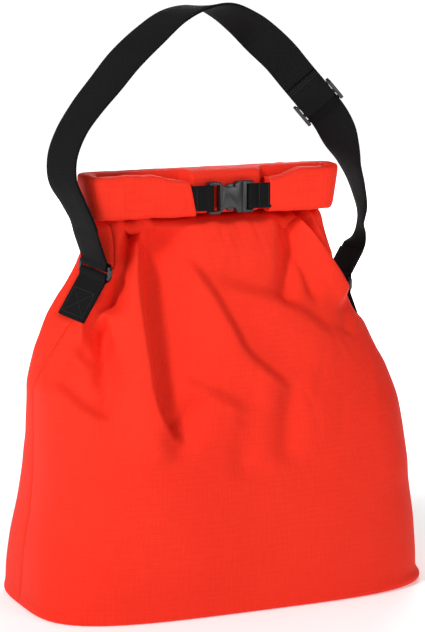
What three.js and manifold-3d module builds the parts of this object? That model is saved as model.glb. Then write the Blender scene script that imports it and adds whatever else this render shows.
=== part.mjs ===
// A roll-top ski-boot bag: fabric tube on a stiff base, mouth rolled and clipped at the front with a
// side-release buckle, and an adjustable shoulder strap on two side rings. Millimetres, +Z up.
// The origin is the centre of the base on the ground, -Y is the front and +X is the wearer's left.
import * as THREE from "three";
import { mergeVertices } from "three/addons/utils/BufferGeometryUtils.js";
import Module from "manifold-3d";

const wasm = await Module();
wasm.setup();

// ---- driving dimensions ----
const FABRIC = 1.5; // wall of the fabric panels
const GAP = 0.3; // clearance between touching pieces
const BASE_THICK = 3;
const BOARD_THICK = 3;
const BOARD_INSET = 9;
const BINDING_HEIGHT = 10;
const PANEL_STEPS = 26; // facets round one half of the bag

const ROLL_TOP = 426;
const ROLL_HEIGHT = 45;
const ROLL_THICK = 15;
const ROLL_LEFT = -144.5; // outermost X of the folded left end
const ROLL_RIGHT = 132;
const ROLL_MIDDLE_Y = 6; // centre of the roll's straight run
const FLAP_MIDDLE_Y = -21; // centre of the two ends folded to the front
const LEFT_FLAP_END = -39;
const RIGHT_FLAP_END = 50;
const ROLL_WALL = 4;
const STIFFENER = { height: 34, thick: 1.5, short: 6 }; // strip in the roll, short of it at each end

const CLOSURE_WEBBING = 25;
const STRAP_WEBBING = 38;
const WEBBING_THICK = 1.3;
const LAYER_PITCH = WEBBING_THICK + 1.5 * GAP; // centre to centre of two webbing layers
const LOOP_WALL = 1.5;
const LOOP_HOLE_R = 3.1;

const BUCKLE = { y: -27, z: 398.5, thick: 9 };
const FEMALE_BAR_X = -15;
const MALE_BAR_X = 29;
const SLOT_HALF = 12.8; // half the height of the slots that the closure webbing goes through
const PRONG_ROOT = { x: 18.1, z: 7.2 };

// Each ring: its middle, the way it faces, its tilt along the bars, and how its two webbings lean.
const RING = { width: 47, height: 14.2, thick: 4, barAt: 5.2, bar: 3.8 };
const LEFT_RING = { at: [-131, -15, 334], yaw: 199, tilt: -8, tabSlope: 32, strapSlope: -27, tab: 49 };
const RIGHT_RING = { at: [152, 25, 298], yaw: 10, tilt: 0, tabSlope: 23, strapSlope: -34, tab: 49 };
const END_TWIST = { left: 0, right: -20 }; // degrees that the strap turns in its first 14 mm above a loop
const STRAP_LOOP_LENGTH = 37;

const SLIDER = { at: [121, 10, 485], down: [0.68, 0.05, -0.73], front: [0.72, -0.25, 0.65] };
const SLIDER_SIZE = { length: 26, inside: 39.2, rail: 3.6, bar: 3.2 };
const SLIDER_TRAVEL = 25; // how far the slider can move up the strap's straight stretch
const STRAIGHT_ABOVE = 66; // straight stretch of strap above and below the slider's middle
const STRAIGHT_BELOW = 17;
const FOLD_LENGTH = 31; // sewn fold of webbing above the slider's middle bar

// ---- finishes ----
const fabric = new THREE.MeshStandardMaterial({ color: 0xf23a22, roughness: 0.7, metalness: 0 });
const innerFabric = new THREE.MeshStandardMaterial({ color: 0xb3261a, roughness: 0.8, metalness: 0 });
const webbing = new THREE.MeshStandardMaterial({ color: 0x232325, roughness: 0.8, metalness: 0 });
const plastic = new THREE.MeshStandardMaterial({ color: 0x2c2d30, roughness: 0.35, metalness: 0 });
const board = new THREE.MeshStandardMaterial({ color: 0x4a4a4c, roughness: 0.6, metalness: 0 });

// ---- helpers ----
const bag = new THREE.Group();

function add(name, geometry, material, parent = bag) {
  const mesh = new THREE.Mesh(geometry, material);
  mesh.name = name;
  parent.add(mesh);
  return mesh;
}

function vector([x, y, z]) {
  return new THREE.Vector3(x, y, z);
}

function signedVolume(geometry) {
  const position = geometry.getAttribute("position");
  const index = geometry.getIndex().array;
  const [a, b, c] = [new THREE.Vector3(), new THREE.Vector3(), new THREE.Vector3()];
  let volume = 0;
  for (let i = 0; i < index.length; i += 3) {
    a.fromBufferAttribute(position, index[i]);
    b.fromBufferAttribute(position, index[i + 1]);
    c.fromBufferAttribute(position, index[i + 2]);
    volume += a.dot(b.cross(c)) / 6;
  }
  return volume;
}

// A solid through sections that each run out along one side and back along the other.
function loft(sections) {
  const count = sections[0].length;
  const half = count / 2;
  const faces = [];
  for (let s = 0; s + 1 < sections.length; s++) {
    for (let i = 0; i < count; i++) {
      const [a, b] = [s * count + i, s * count + ((i + 1) % count)];
      const [c, d] = [b + count, a + count];
      faces.push(...(i < half ? [a, b, c, a, c, d] : [a, b, d, b, c, d]));
    }
  }
  const last = (sections.length - 1) * count;
  for (let i = 0; i + 1 < half; i++) {
    const [a, b, c, d] = [i, i + 1, count - 2 - i, count - 1 - i];
    faces.push(a, c, b, a, d, c);
    faces.push(last + a, last + b, last + c, last + a, last + c, last + d);
  }
  const geometry = new THREE.BufferGeometry();
  const points = sections.flat().flatMap((p) => [p.x, p.y, p.z]);
  geometry.setAttribute("position", new THREE.Float32BufferAttribute(points, 3));
  geometry.setIndex(faces);
  if (signedVolume(geometry) < 0) {
    geometry.setIndex(faces.slice().reverse());
  }
  return geometry;
}

// Extrudes an outline drawn in (Y, Z) along X, from x0 to x1.
function extrudeAlongX(shape, x0, x1) {
  const geometry = new THREE.ExtrudeGeometry(shape, { depth: x1 - x0, bevelEnabled: false });
  const turn = new THREE.Matrix4().makeBasis(
    new THREE.Vector3(0, 1, 0),
    new THREE.Vector3(0, 0, 1),
    new THREE.Vector3(1, 0, 0),
  );
  return geometry.applyMatrix4(turn).translate(x0, 0, 0);
}

// Extrudes an outline drawn in (X, Z) through a thickness centred on Y = 0.
function extrudeAcrossY(shape, thickness, bevel = 0) {
  const geometry = new THREE.ExtrudeGeometry(shape, {
    depth: thickness - 2 * bevel,
    bevelEnabled: bevel > 0,
    bevelThickness: bevel,
    bevelSize: bevel,
    bevelOffset: -bevel,
    bevelSegments: 2,
    curveSegments: 6,
  });
  return geometry.translate(0, 0, bevel - thickness / 2).rotateX(Math.PI / 2);
}

function roundedRectangle(width, height, radius, Outline = THREE.Shape) {
  const [w, h] = [width / 2, height / 2];
  const outline = new Outline();
  outline.moveTo(-w + radius, -h);
  outline.lineTo(w - radius, -h);
  outline.absarc(w - radius, -h + radius, radius, -Math.PI / 2, 0);
  outline.lineTo(w, h - radius);
  outline.absarc(w - radius, h - radius, radius, 0, Math.PI / 2);
  outline.lineTo(-w + radius, h);
  outline.absarc(-w + radius, h - radius, radius, Math.PI / 2, Math.PI);
  outline.lineTo(-w, -h + radius);
  outline.absarc(-w + radius, -h + radius, radius, Math.PI, 1.5 * Math.PI);
  return outline;
}

function box(x0, x1, y0, y1, z0, z1) {
  const geometry = new THREE.BoxGeometry(x1 - x0, y1 - y0, z1 - z0);
  return geometry.translate((x0 + x1) / 2, (y0 + y1) / 2, (z0 + z1) / 2);
}

function toSolid(geometry) {
  const bare = geometry.clone();
  bare.deleteAttribute("normal");
  bare.deleteAttribute("uv");
  const merged = mergeVertices(bare, 1e-4);
  return new wasm.Manifold(
    new wasm.Mesh({
      numProp: 3,
      vertProperties: new Float32Array(merged.getAttribute("position").array),
      triVerts: new Uint32Array(merged.getIndex().array),
    }),
  );
}

function fromSolid(solid) {
  const mesh = solid.getMesh();
  const geometry = new THREE.BufferGeometry();
  geometry.setAttribute("position", new THREE.BufferAttribute(mesh.vertProperties, 3));
  geometry.setIndex(new THREE.BufferAttribute(mesh.triVerts, 1));
  return geometry;
}

// ---- the bag's body: two fabric panels that meet at the side seams ----
// Each level gives the height, the left and right edges, the front and back, and how boxy it is.
const LEVELS = [
  { z: 0, left: -207, right: 210, front: -110, back: 110, boxy: 3.6 },
  { z: 20, left: -210, right: 211, front: -113, back: 113, boxy: 3.6 },
  { z: 60, left: -204, right: 204, front: -113, back: 112, boxy: 3.4 },
  { z: 100, left: -197, right: 202, front: -108, back: 107, boxy: 3.2 },
  { z: 140, left: -194, right: 201, front: -100, back: 99, boxy: 3 },
  { z: 180, left: -193, right: 197, front: -90, back: 88, boxy: 2.8 },
  { z: 216, left: -191, right: 186, front: -80, back: 78, boxy: 2.6 },
  { z: 248, left: -178, right: 168, front: -70, back: 68, boxy: 2.5 },
  { z: 282, left: -154, right: 147, front: -58, back: 56, boxy: 2.4 },
  { z: 310, left: -137, right: 135, front: -48, back: 46, boxy: 2.4 },
  { z: 337, left: -120, right: 126, front: -38, back: 36, boxy: 2.4 },
  { z: 360, left: -119, right: 121, front: -28, back: 27, boxy: 2.4 },
  { z: 374, left: -118, right: 118, front: -22, back: 24, boxy: 2.4 },
  { z: 378.5, left: -119, right: 108, front: -6, back: 22.5, boxy: 2.4 },
  { z: 380.5, left: -120, right: 106, front: 14, back: 22, boxy: 2.4 },
  { z: 423, left: -120, right: 106, front: 14, back: 22, boxy: 2.4 },
];

function onSection(level, angle, inset) {
  const halfWidth = (level.right - level.left) / 2 - inset;
  const halfDepth = (level.back - level.front) / 2 - inset;
  const round = (value) => Math.sign(value) * Math.abs(value) ** (2 / level.boxy);
  return new THREE.Vector3(
    (level.left + level.right) / 2 + halfWidth * round(Math.cos(angle)),
    (level.front + level.back) / 2 + halfDepth * round(Math.sin(angle)),
    level.z,
  );
}

function bodyPanel(start, side) {
  const seamGap = new THREE.Vector3(0, (side * GAP) / 2, 0);
  return loft(
    LEVELS.map((level) => {
      const turn = (i) => start + (Math.PI * i) / PANEL_STEPS;
      const steps = Array.from({ length: PANEL_STEPS + 1 }, (_, i) => i);
      const outside = steps.map((i) => onSection(level, turn(i), 0).add(seamGap));
      const inside = steps.map((i) => onSection(level, turn(i), FABRIC).add(seamGap));
      return [...outside, ...inside.reverse()];
    }),
  );
}

function baseOutline(inset, Outline = THREE.Shape) {
  const points = [];
  for (let i = 0; i < 2 * PANEL_STEPS; i++) {
    const p = onSection(LEVELS[0], (Math.PI * i) / PANEL_STEPS, inset);
    points.push(new THREE.Vector2(p.x, p.y));
  }
  return new Outline(points);
}

function plate(shape, thickness, z) {
  return new THREE.ExtrudeGeometry(shape, { depth: thickness, bevelEnabled: false }).translate(0, 0, z);
}

function bindingShape() {
  const shape = baseOutline(FABRIC + 2);
  shape.holes.push(baseOutline(FABRIC + 4, THREE.Path));
  return shape;
}

function addBody() {
  add("body_front_panel", bodyPanel(Math.PI, -1), fabric);
  add("body_back_panel", bodyPanel(0, 1), fabric);
  add("base_panel", plate(baseOutline(FABRIC + GAP), BASE_THICK, 0), fabric);
  add("base_stiffener_board", plate(baseOutline(BOARD_INSET), BOARD_THICK, BASE_THICK + GAP), board);
  add("base_seam_binding", plate(bindingShape(), BINDING_HEIGHT, BASE_THICK + GAP), innerFabric);
}

// ---- the rolled mouth: a straight run with both ends folded round to the front ----
const HALF_ROLL = ROLL_THICK / 2;
const BEND_R = (ROLL_MIDDLE_Y - FLAP_MIDDLE_Y) / 2;
const BEND_Y = (ROLL_MIDDLE_Y + FLAP_MIDDLE_Y) / 2;
const LEFT_BEND_X = ROLL_LEFT + BEND_R + HALF_ROLL;
const RIGHT_BEND_X = ROLL_RIGHT - BEND_R - HALF_ROLL;
const ROLL_MIDDLE_Z = ROLL_TOP - ROLL_HEIGHT / 2;

function rollCentre() {
  const section = roundedRectangle(ROLL_THICK, ROLL_HEIGHT, HALF_ROLL - 0.5);
  const hollow = [ROLL_THICK - 2 * ROLL_WALL, ROLL_HEIGHT - 2 * ROLL_WALL];
  section.holes.push(roundedRectangle(...hollow, HALF_ROLL - ROLL_WALL - 0.5, THREE.Path));
  const geometry = extrudeAlongX(section, LEFT_BEND_X + GAP, RIGHT_BEND_X - GAP);
  return geometry.translate(0, ROLL_MIDDLE_Y, ROLL_MIDDLE_Z);
}

// side is -1 for the left end and +1 for the right one.
function rollFlap(bendX, endX, side) {
  const [outer, inner] = [BEND_R + HALF_ROLL, BEND_R - HALF_ROLL];
  const away = side < 0;
  const shape = new THREE.Shape();
  shape.absarc(bendX, BEND_Y, outer, Math.PI / 2, -Math.PI / 2, !away);
  shape.lineTo(endX, FLAP_MIDDLE_Y - HALF_ROLL);
  shape.lineTo(endX, FLAP_MIDDLE_Y + HALF_ROLL);
  shape.absarc(bendX, BEND_Y, inner, -Math.PI / 2, Math.PI / 2, away);
  const bevel = 2.5;
  const geometry = new THREE.ExtrudeGeometry(shape, {
    depth: ROLL_HEIGHT - 2 * bevel,
    bevelThickness: bevel,
    bevelSize: bevel,
    bevelOffset: -bevel,
    bevelSegments: 2,
    curveSegments: 10,
  });
  return geometry.translate(0, 0, ROLL_TOP - ROLL_HEIGHT + bevel);
}

function addRoll() {
  add("roll_centre", rollCentre(), fabric);
  const { height, thick, short } = STIFFENER;
  const length = RIGHT_BEND_X - LEFT_BEND_X - 2 * short;
  const strip = new THREE.BoxGeometry(length, thick, height);
  strip.translate((LEFT_BEND_X + RIGHT_BEND_X) / 2, ROLL_MIDDLE_Y, ROLL_MIDDLE_Z);
  add("mouth_stiffener", strip, board);
  add("roll_flap_left", rollFlap(LEFT_BEND_X, LEFT_FLAP_END, -1), fabric);
  add("roll_flap_right", rollFlap(RIGHT_BEND_X, RIGHT_FLAP_END, 1), fabric);
}

// ---- webbing loops: two sewn layers that open into an eye round a bar ----
// The outline runs from the eye at the origin along +Y of the shape, for the given length.
function loopShape(length) {
  const outer = LOOP_HOLE_R + LOOP_WALL;
  const lean = Math.asin(LOOP_WALL / outer);
  const shape = new THREE.Shape();
  shape.moveTo(LOOP_WALL, length);
  shape.lineTo(-LOOP_WALL, length);
  shape.absarc(0, 0, outer, Math.PI / 2 + lean, Math.PI / 2 - lean + 2 * Math.PI);
  const eye = new THREE.Path();
  eye.absarc(0, 0, LOOP_HOLE_R, 0, 2 * Math.PI);
  shape.holes.push(eye);
  return shape;
}

function loopSolid(length, width) {
  const shape = loopShape(length);
  const geometry = new THREE.ExtrudeGeometry(shape, { depth: width, bevelEnabled: false, curveSegments: 9 });
  return geometry.translate(0, 0, -width / 2);
}

// The closure webbing stands on edge: its loop is drawn in plan and is as tall as the webbing is wide.
function closureLoop(barX, endX) {
  const length = Math.abs(endX - barX) - GAP;
  const geometry = loopSolid(length, CLOSURE_WEBBING).rotateZ((Math.sign(barX - endX) * Math.PI) / 2);
  return geometry.translate(barX, BUCKLE.y, BUCKLE.z);
}

// ---- the side-release buckle; outlines are drawn in (X, Z) round its middle ----
function outline(points) {
  return new THREE.Shape(points.map(([x, z]) => new THREE.Vector2(x, z)));
}

function mirrored(points) {
  return [...points, ...points.map(([x, z]) => [x, -z]).reverse()];
}

// Cuts away the front and back of a plate from x0 to x1, to leave a thin bar for the webbing.
function thinning(x0, x1) {
  return [box(x0, x1, 2, 9, -SLOT_HALF, SLOT_HALF), box(x0, x1, -9, -2, -SLOT_HALF, SLOT_HALF)];
}

function cutAway(body, cuts) {
  return cuts.reduce((left, cut) => left.subtract(toSolid(cut)), body);
}

function buckleFemale() {
  const edge = [
    [-17, 14.5],
    [-15.5, 16],
    [-6, 16],
    [-3, 13.6],
    [0.5, 10.6],
    [10.8, 10.6],
    [12.8, 14.6],
    [15, 16],
    [18, 15],
  ];
  const body = toSolid(extrudeAcrossY(outline(mirrored(edge)), BUCKLE.thick, 1));
  const slot = box(-13, -5.5, -9, 9, -SLOT_HALF, SLOT_HALF);
  const throat = box(-2, 20, -2.9, 2.9, -11.3, 11.3);
  return fromSolid(cutAway(body, [slot, throat, ...thinning(-20, -12.9)]));
}

function buckleMale() {
  const edge = [[18.4, 15], [21, 16], [31, 15.4]];
  const body = toSolid(extrudeAcrossY(outline(mirrored(edge)), BUCKLE.thick - 1, 1));
  const slot = box(23.3, 27, -9, 9, -SLOT_HALF, SLOT_HALF);
  const tongue = toSolid(box(5, 19, -2.4, 2.4, -1.5, 1.5));
  return fromSolid(cutAway(body, [slot, ...thinning(26.9, 33)]).add(tongue));
}

function buckleProng(side) {
  const { x, z } = PRONG_ROOT;
  const edge = [
    [x, z - 1.8],
    [x, z + 1.8],
    [11.8, 9.6],
    [10.6, 10.2],
    [10.2, 12.8],
    [4.4, 13.6],
    [1, 9.8],
    [1.5, 6.4],
    [5, 5.6],
  ];
  const points = edge.map(([px, pz]) => [px, side * pz]);
  return extrudeAcrossY(outline(side > 0 ? points : points.reverse()), 4.8, 0.6);
}

function addClosure() {
  add("closure_webbing_left", closureLoop(FEMALE_BAR_X, LEFT_FLAP_END), webbing);
  add("closure_webbing_right", closureLoop(MALE_BAR_X, RIGHT_FLAP_END), webbing);
  const buckle = new THREE.Group();
  buckle.position.set(0, BUCKLE.y, BUCKLE.z);
  bag.add(buckle);
  add("buckle_female", buckleFemale(), plastic, buckle);
  add("buckle_male", buckleMale(), plastic, buckle);
  add("buckle_prong_upper", buckleProng(1), plastic, buckle);
  add("buckle_prong_lower", buckleProng(-1), plastic, buckle);
}

// ---- side anchors: a sewn tab, a ring, and the strap's end loop, each side ----
// A frame at the ring's middle: its X points away from the bag, Y along the webbing's width.
function anchorFrame({ at, yaw, tilt }) {
  const frame = new THREE.Group();
  frame.position.set(...at);
  frame.rotation.set(THREE.MathUtils.degToRad(tilt), 0, THREE.MathUtils.degToRad(yaw), "ZYX");
  bag.add(frame);
  return frame;
}

// A loop whose eye is on the ring's bar at height z, leaning from vertical by slope.
function hangLoop(frame, name, length, z, slope, down) {
  const geometry = loopSolid(length, STRAP_WEBBING).rotateX(Math.PI / 2);
  if (down) {
    geometry.rotateY(Math.PI);
  }
  const mesh = add(name, geometry, webbing, frame);
  mesh.position.z = z;
  mesh.rotation.y = THREE.MathUtils.degToRad(-slope);
}

function ringSolid() {
  const shape = roundedRectangle(RING.width, RING.height, 4);
  const inside = [RING.width - 2 * RING.bar, RING.height - 2 * RING.bar];
  shape.holes.push(roundedRectangle(...inside, 1.5, THREE.Path));
  const bevel = 0.8;
  const geometry = new THREE.ExtrudeGeometry(shape, {
    depth: RING.thick - 2 * bevel,
    bevelThickness: bevel,
    bevelSize: bevel,
    bevelOffset: -bevel,
    bevelSegments: 2,
    curveSegments: 5,
  });
  return geometry.translate(0, 0, bevel - RING.thick / 2).rotateX(Math.PI / 2).rotateZ(Math.PI / 2);
}

function addAnchor(side, place) {
  const frame = anchorFrame(place);
  add(`side_ring_${side}`, ringSolid(), plastic, frame);
  hangLoop(frame, `side_tab_${side}`, place.tab, -RING.barAt, place.tabSlope, true);
  hangLoop(frame, `strap_loop_${side}`, STRAP_LOOP_LENGTH, RING.barAt, place.strapSlope, false);
}

// Two stations where the strap leaves a loop: straight on from it, and turned about its own run.
function strapEnd({ at, yaw, tilt, strapSlope }, frontSign, twist) {
  const [turn, roll, lean, turned] = [yaw, tilt, -strapSlope, twist].map(THREE.MathUtils.degToRad);
  const frame = new THREE.Matrix4().makeRotationFromEuler(new THREE.Euler(roll, 0, turn, "ZYX"));
  const up = new THREE.Vector3(Math.sin(lean), 0, Math.cos(lean)).applyMatrix4(frame);
  const bar = new THREE.Vector3(0, 0, RING.barAt).applyMatrix4(frame).add(vector(at));
  const front = new THREE.Vector3(0, frontSign, 0).applyMatrix4(frame);
  const station = (on, angle) => ({
    at: bar.clone().addScaledVector(up, STRAP_LOOP_LENGTH + on),
    front: front.clone().applyAxisAngle(up, angle),
  });
  return [station(4 * GAP, 0), station(14, turned)];
}

// ---- the shoulder strap ----
// Stations along the strap's outer layer, with the direction of its front edge at each.
const LEFT_STATIONS = [
  { at: [-159, -28, 402], front: [0.34, -0.93, -0.12] },
  { at: [-168, -24, 424], front: [0.4, -0.9, 0] },
  { at: [-167, -22, 446], front: [0.43, -0.9, 0] },
  { at: [-157, -20, 469], front: [0.47, -0.88, 0] },
  { at: [-140, -17, 491], front: [0.5, -0.84, -0.1] },
  { at: [-119, -14, 513], front: [0.5, -0.8, -0.2] },
  { at: [-98, -11, 535], front: [0.48, -0.8, -0.28] },
  { at: [-71, -7, 557], front: [0.42, -0.85, -0.3] },
  { at: [-42, -2, 576], front: [0.28, -0.94, -0.2] },
  { at: [-12, 1, 584], front: [0.12, -0.98, 0.02] },
  { at: [13, 3, 580], front: [0.25, -0.9, 0.35] },
  { at: [36, 5, 567], front: [0.45, -0.72, 0.5] },
  { at: [57, 6, 550], front: [0.62, -0.42, 0.62] },
];
const RIGHT_STATIONS = [
  { at: [143, 12, 457], front: [0.85, -0.45, 0.3] },
  { at: [151, 14, 440], front: [0.55, -0.8, 0.2] },
  { at: [160, 18, 422], front: [0.2, -0.97, 0.05] },
  { at: [171, 23, 401], front: [0, -1, 0] },
  { at: [179, 27, 378], front: [-0.14, -0.99, 0] },
  { at: [181, 30, 358], front: [-0.3, -0.95, 0] },
];

function strapRoute() {
  const [slider, down, front] = [vector(SLIDER.at), vector(SLIDER.down).normalize(), vector(SLIDER.front)];
  const above = { at: slider.clone().addScaledVector(down, -STRAIGHT_ABOVE), front };
  const below = { at: slider.clone().addScaledVector(down, STRAIGHT_BELOW), front };
  const open = (stations) => stations.map((s) => ({ at: vector(s.at), front: vector(s.front) }));
  const left = smooth([...strapEnd(LEFT_RING, 1, END_TWIST.left), ...open(LEFT_STATIONS), above], 45);
  const rightEnd = strapEnd(RIGHT_RING, -1, END_TWIST.right).reverse();
  const right = smooth([below, ...open(RIGHT_STATIONS), ...rightEnd], 28);
  return { left, right };
}

function smooth(stations, steps) {
  const path = new THREE.CatmullRomCurve3(stations.map((s) => s.at));
  const fronts = new THREE.CatmullRomCurve3(stations.map((s) => s.front));
  return Array.from({ length: steps + 1 }, (_, i) => ({
    at: path.getPoint(i / steps),
    front: fronts.getPoint(i / steps),
  }));
}

// Rectangular sections square to the route, shifted towards the inside of the arch.
function ribbon(route, width, thick, shift) {
  return loft(
    route.map((station, i) => {
      const before = route[Math.max(i - 1, 0)].at;
      const after = route[Math.min(i + 1, route.length - 1)].at;
      const along = after.clone().sub(before).normalize();
      const across = station.front.clone();
      across.addScaledVector(along, -across.dot(along)).normalize();
      const inward = along.clone().cross(across);
      const corner = (a, n) => {
        const edge = station.at.clone().addScaledVector(across, (a * width) / 2);
        return edge.addScaledVector(inward, shift + (n * thick) / 2);
      };
      return [corner(-1, -1), corner(1, -1), corner(1, 1), corner(-1, 1)];
    }),
  );
}

function sliderFrame() {
  const along = vector(SLIDER.down).normalize();
  const across = vector(SLIDER.front);
  across.addScaledVector(along, -across.dot(along)).normalize();
  const inward = along.clone().cross(across);
  const frame = new THREE.Group();
  frame.position.set(...SLIDER.at);
  frame.quaternion.setFromRotationMatrix(new THREE.Matrix4().makeBasis(along, across, inward));
  bag.add(frame);
  return frame;
}

// Two rails and three bars; the middle and upper bars lie inside the strap, the lower one outside.
const SLIDER_BARS = { low: WEBBING_THICK * 1.5 + 2 * GAP, high: WEBBING_THICK * 1.5 + 2 * GAP + 3 };

function sliderSolid() {
  const { length, inside, rail, bar } = SLIDER_SIZE;
  const { low, high } = SLIDER_BARS;
  const [end, reach, under] = [length / 2, inside / 2 + 1, WEBBING_THICK / 2 + GAP];
  const shape = roundedRectangle(length, high + under + 3, 3.4);
  const rails = [-1, 1].map((side) => {
    const piece = extrudeAcrossY(shape, rail, 0.8);
    return piece.translate(0, (side * (inside + rail)) / 2, (high - under - 3) / 2);
  });
  const bars = [
    box(-end + 0.6, -end + 0.6 + bar, -reach, reach, low, high - 0.4),
    box(-bar / 2, bar / 2, -reach, reach, low, high - 0.4),
    box(end - 0.6 - bar, end - 0.6, -reach, reach, -under - 2.6, -under),
  ];
  const solids = [...rails, ...bars].map(toSolid);
  return fromSolid(solids.reduce((whole, piece) => whole.add(piece)));
}

// The strap's inner layer turned round the middle bar and sewn back to itself.
function foldSolid() {
  const [near, far] = [SLIDER_BARS.high + GAP - 0.4, SLIDER_BARS.low - GAP];
  const tip = SLIDER_SIZE.bar / 2 + GAP;
  const sewn = -FOLD_LENGTH + 3; // the two layers part here, on the way down to the bar
  const section = [
    [-FOLD_LENGTH, far - WEBBING_THICK],
    [tip + WEBBING_THICK, far - WEBBING_THICK],
    [tip + WEBBING_THICK, near + WEBBING_THICK],
    [sewn, near + WEBBING_THICK],
    [-FOLD_LENGTH, far + GAP + WEBBING_THICK],
    [-FOLD_LENGTH, far + GAP],
    [sewn, near],
    [tip, near],
    [tip, far],
    [sewn, far],
  ];
  return extrudeAcrossY(outline(section), STRAP_WEBBING);
}

function addStrap() {
  const { left, right } = strapRoute();
  const upTo = SLIDER_TRAVEL + FOLD_LENGTH + 2;
  const down = vector(SLIDER.down).normalize();
  const short = { at: vector(SLIDER.at).addScaledVector(down, -upTo), front: vector(SLIDER.front) };
  add("strap_outer_layer", ribbon([...left, ...right], STRAP_WEBBING, WEBBING_THICK, 0), webbing);
  add("strap_inner_layer", ribbon([...left, short], STRAP_WEBBING, WEBBING_THICK, LAYER_PITCH), webbing);
  const slider = sliderFrame();
  add("strap_slider", sliderSolid(), plastic, slider);
  add("strap_sewn_fold", foldSolid(), webbing, slider);
}

addBody();
addRoll();
addClosure();
addAnchor("left", LEFT_RING);
addAnchor("right", RIGHT_RING);
addStrap();

export default bag;
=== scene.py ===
"""A roll-top ski-boot bag in orange-red fabric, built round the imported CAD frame.

Lengths are in metres. MM turns the millimetres of the design dimensions into metres.
"""
from math import asin, cos, pi, radians, sin

import bmesh
import bpy
import numpy as np
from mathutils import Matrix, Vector


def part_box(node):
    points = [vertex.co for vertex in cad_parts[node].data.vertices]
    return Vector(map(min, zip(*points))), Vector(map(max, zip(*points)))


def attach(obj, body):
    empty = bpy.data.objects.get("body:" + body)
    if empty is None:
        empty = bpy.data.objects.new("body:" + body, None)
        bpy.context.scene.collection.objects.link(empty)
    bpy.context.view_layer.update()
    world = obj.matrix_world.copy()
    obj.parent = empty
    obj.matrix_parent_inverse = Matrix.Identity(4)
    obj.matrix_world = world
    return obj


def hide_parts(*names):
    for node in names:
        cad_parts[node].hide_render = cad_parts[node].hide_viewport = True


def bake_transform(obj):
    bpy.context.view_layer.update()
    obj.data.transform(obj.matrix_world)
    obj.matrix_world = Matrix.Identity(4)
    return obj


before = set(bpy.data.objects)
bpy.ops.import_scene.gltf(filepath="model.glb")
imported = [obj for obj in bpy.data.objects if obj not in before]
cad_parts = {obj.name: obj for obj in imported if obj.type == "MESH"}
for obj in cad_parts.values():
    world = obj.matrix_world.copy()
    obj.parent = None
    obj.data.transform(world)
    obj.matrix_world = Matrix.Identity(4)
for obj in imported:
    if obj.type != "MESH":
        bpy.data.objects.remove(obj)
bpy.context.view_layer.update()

MM = 0.001


# ---------------- small helpers
def ease(low, high, x):
    t = np.clip((x - low) / (high - low), 0.0, 1.0)
    return t * t * (3 - 2 * t)


def unit(v):
    return v / np.maximum(np.linalg.norm(v, axis=-1, keepdims=True), 1e-12)


def monotone(x, knots, values):
    """A smooth curve through values at knots that never overshoots them."""
    step = np.diff(knots)
    slope = np.diff(values) / step
    tangent = np.zeros(len(knots))
    for i in range(1, len(knots) - 1):
        if slope[i - 1] * slope[i] > 0:
            w1 = 2 * step[i] + step[i - 1]
            w2 = step[i] + 2 * step[i - 1]
            tangent[i] = (w1 + w2) / (w1 / slope[i - 1] + w2 / slope[i])
    tangent[0], tangent[-1] = slope[0], slope[-1]
    k = np.clip(np.searchsorted(knots, x) - 1, 0, len(step) - 1)
    h = step[k]
    t = (x - knots[k]) / h
    a = (1 + 2 * t) * (1 - t) ** 2
    b = t * (1 - t) ** 2
    c = t * t * (3 - 2 * t)
    d = t * t * (t - 1)
    return a * values[k] + b * h * tangent[k] + c * values[k + 1] + d * h * tangent[k + 1]


def catmull(points, count):
    """Points spaced evenly along a smooth curve through the given ones."""
    p = np.asarray(points, float)
    p = np.vstack([2 * p[0] - p[1], p, 2 * p[-1] - p[-2]])
    dense = []
    for i in range(1, len(p) - 2):
        t = np.linspace(0, 1, 24, endpoint=False)[:, None]
        a, b, c, d = p[i - 1], p[i], p[i + 1], p[i + 2]
        dense.append(
            0.5 * (2 * b + (c - a) * t + (2 * a - 5 * b + 4 * c - d) * t**2 + (3 * b - a - 3 * c + d) * t**3)
        )
    return respace(np.vstack(dense + [p[-2:-1]]), count)


def arc_length(line):
    """Distance along a polyline at each of its points."""
    return np.concatenate([[0], np.cumsum(np.linalg.norm(np.diff(line, axis=0), axis=1))])


def respace(line, count):
    """Evenly spaced points along a polyline."""
    along = arc_length(line)
    at = np.linspace(0, along[-1], count)
    return np.stack([np.interp(at, along, line[:, k]) for k in range(line.shape[1])], axis=1)


def signed_power(x, power):
    return np.sign(x) * np.abs(x) ** power


def circle(count):
    return np.linspace(0, 2 * pi, count, endpoint=False)


def scene_object(name, data):
    obj = bpy.data.objects.new(name, data)
    bpy.context.scene.collection.objects.link(obj)
    return obj


def shade_smooth(mesh):
    mesh.polygons.foreach_set("use_smooth", [True] * len(mesh.polygons))


def mesh_object(name, verts, faces, material, uvs=None):
    """An object in the scene; uvs holds a list of corners for each face."""
    mesh = bpy.data.meshes.new(name)
    mesh.from_pydata([tuple(v) for v in verts], [], [tuple(f) for f in faces])
    if uvs is not None:
        layer = mesh.uv_layers.new(name="UVMap")
        layer.data.foreach_set("uv", np.array([uv for f in uvs for uv in f], np.float32).ravel())
    mesh.update()
    shade_smooth(mesh)
    mesh.materials.append(material)
    return scene_object(name, mesh)


def grid_faces(rows, cols, wrap=False):
    """Quads of a rows x cols grid of points, and the grid corners (row, column) that each uses."""
    r, c = np.indices((rows - 1, cols if wrap else cols - 1)).reshape(2, -1)
    n = (c + 1) % cols
    faces = np.stack([r * cols + c, r * cols + n, (r + 1) * cols + n, (r + 1) * cols + c], axis=1)
    corners = np.stack([r, c, r, c + 1, r + 1, c + 1, r + 1, c], axis=1).reshape(-1, 4, 2)
    return faces, corners


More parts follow.
